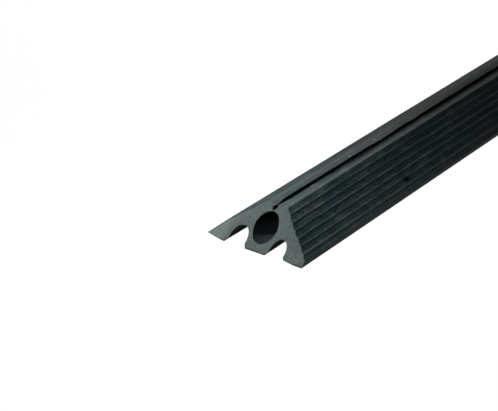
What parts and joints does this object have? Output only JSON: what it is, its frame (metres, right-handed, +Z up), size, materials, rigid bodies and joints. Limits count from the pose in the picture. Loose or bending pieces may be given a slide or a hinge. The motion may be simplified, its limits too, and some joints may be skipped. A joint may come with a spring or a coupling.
{
  "type": "rubber cable cover",
  "caption": "Straight length of solid black rubber floor cable cover with ribbed slopes, a slit bore along the middle, a channel open to the floor on each side and a slant-cut end.",
  "frame": {"origin": "on the floor plane, in the middle of the cover's width and length", "axes": "+X across the cover, +Y along it from the slanted end to the square end, +Z up from the floor"},
  "size_m": [0.108, 1, 0.034],
  "materials": {
    "rubber": "matt extruded, with a dull sheen on the flat top"
  },
  "bodies": {
    "root": {"cable_cover": "rubber"}
  },
  "joints": []
}
